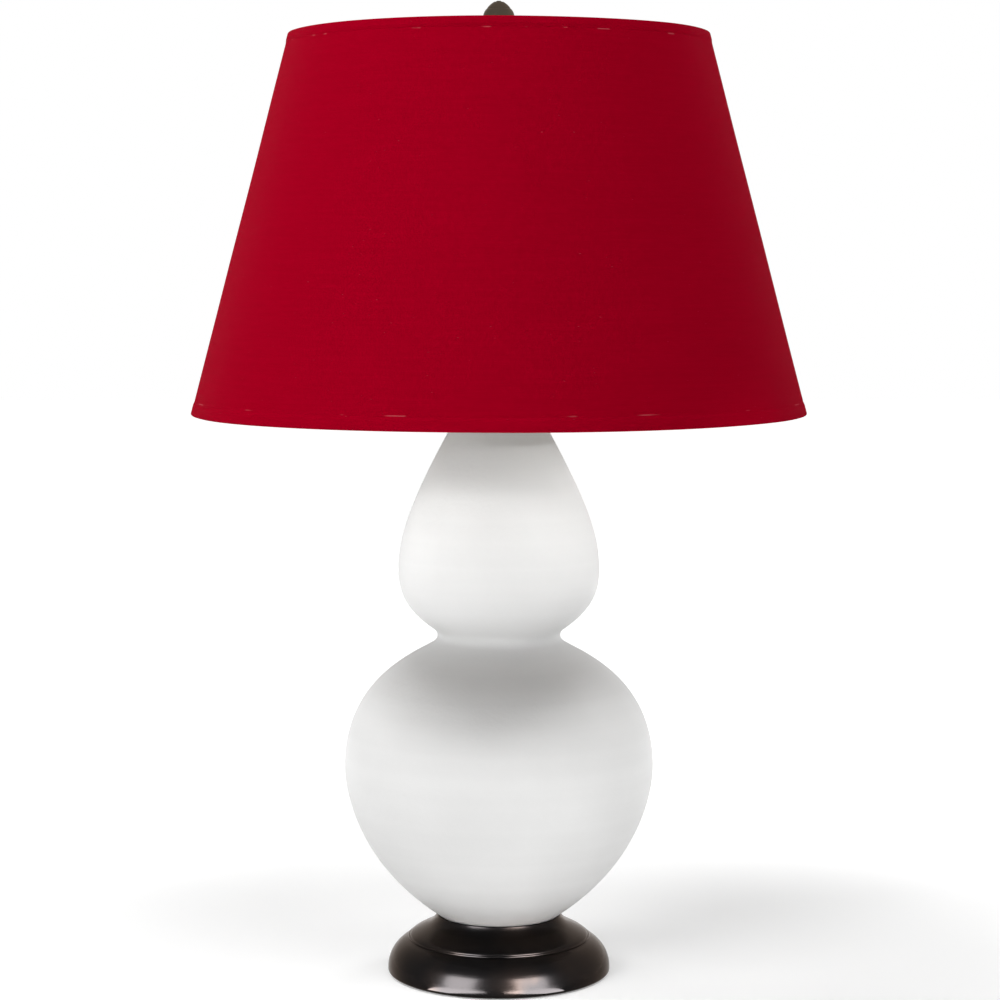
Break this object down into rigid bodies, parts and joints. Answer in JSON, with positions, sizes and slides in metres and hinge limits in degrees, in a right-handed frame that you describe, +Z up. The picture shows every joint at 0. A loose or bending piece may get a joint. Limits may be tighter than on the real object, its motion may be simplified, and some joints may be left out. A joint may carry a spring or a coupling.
{
  "type": "double gourd lamp",
  "caption": "Table lamp: double-gourd glazed ceramic body on a turned metal pedestal, wire harp with swivel, turn-key bulb socket, frosted bulb, cone fabric shade and turned finial.",
  "frame": {"origin": "on the lamp's axis, at the underside of the felt pad that the lamp stands on", "axes": "+Z up along the lamp's axis; -Y is the front, with the switch key; +Y is the rear, with the cord inlet; +X is the right seen from the front"},
  "size_m": [0.4825, 0.4826, 0.7684],
  "materials": {
    "felt": "matte felt",
    "board": "raw fibreboard",
    "bronze": "dark bronze patina, satin lacquer",
    "finial_bronze": "brown bronze patina, satin lacquer",
    "black_plastic": "moulded, matte",
    "iron": "as cast",
    "steel": "zinc plated",
    "rubber": "matte",
    "glaze": "smooth satin white glaze",
    "brass": "satin",
    "fibre": "vulcanised fibre",
    "aluminium": "drawn, bright",
    "frosted_glass": "frosted white",
    "red_cloth": "crimson woven cloth",
    "lining": "white styrene lining, matte"
  },
  "bodies": {
    "lamp_body": {"felt_pad": "felt", "bottom_board": "board", "pedestal_base": "bronze", "cord_bushing": "black_plastic", "ballast_disc": "iron", "bottom_washer": "steel", "bottom_nut": "steel", "lamp_pipe": "steel", "foot_gasket": "rubber", "gourd_body": "glaze", "neck_seal": "felt", "vase_cap": "bronze", "neck_spacer": "bronze", "harp_saddle": "bronze", "locknut": "brass", "harp_wire": "bronze", "socket_cap": "brass", "socket_set_screw": "steel", "socket_shell": "brass", "socket_liner": "fibre", "switch_block": "black_plastic", "terminal_screws": "brass", "centre_contact": "brass", "screw_shell": "aluminium"},
    "ferrule_left": {"harp_ferrule_left": "bronze"},
    "ferrule_right": {"harp_ferrule_right": "bronze"},
    "switch_key": {"switch_stem": "brass", "switch_knob": "black_plastic"},
    "bulb": {"bulb_screw_cap": "aluminium", "bulb_globe": "frosted_glass"},
    "swivel": {"swivel_stud": "brass"},
    "shade": {"shade_cloth": "red_cloth", "shade_lining": "lining", "shade_top_hem": "red_cloth", "shade_bottom_hem": "red_cloth", "shade_spider": "steel", "shade_bottom_ring": "steel"},
    "finial": {"finial": "finial_bronze"}
  },
  "joints": [
    {"name": "ferrule_left_slide", "type": "slide", "parent": "lamp_body", "child": "ferrule_left", "axis": [0, 0, 1], "range_m": [0, 0.0145]},
    {"name": "ferrule_right_slide", "type": "slide", "parent": "lamp_body", "child": "ferrule_right", "axis": [0, 0, 1], "range_m": [0, 0.0145]},
    {"name": "switch_key_turn", "type": "hinge", "parent": "lamp_body", "child": "switch_key", "pos_m": [0, -0.03, 0.5311], "axis": [0, -1, 0], "continuous": true},
    {"name": "bulb_turn", "type": "hinge", "parent": "lamp_body", "child": "bulb", "pos_m": [0, 0, 0.56], "axis": [0, 0, 1], "continuous": true},
    {"name": "swivel_turn", "type": "hinge", "parent": "lamp_body", "child": "swivel", "pos_m": [0, 0, 0.732], "axis": [0, 0, 1], "continuous": true},
    {"name": "shade_turn", "type": "hinge", "parent": "swivel", "child": "shade", "pos_m": [0, 0, 0.737], "axis": [0, 0, 1], "continuous": true},
    {"name": "finial_turn", "type": "hinge", "parent": "swivel", "child": "finial", "pos_m": [0, 0, 0.745], "axis": [0, 0, 1], "continuous": true}
  ]
}
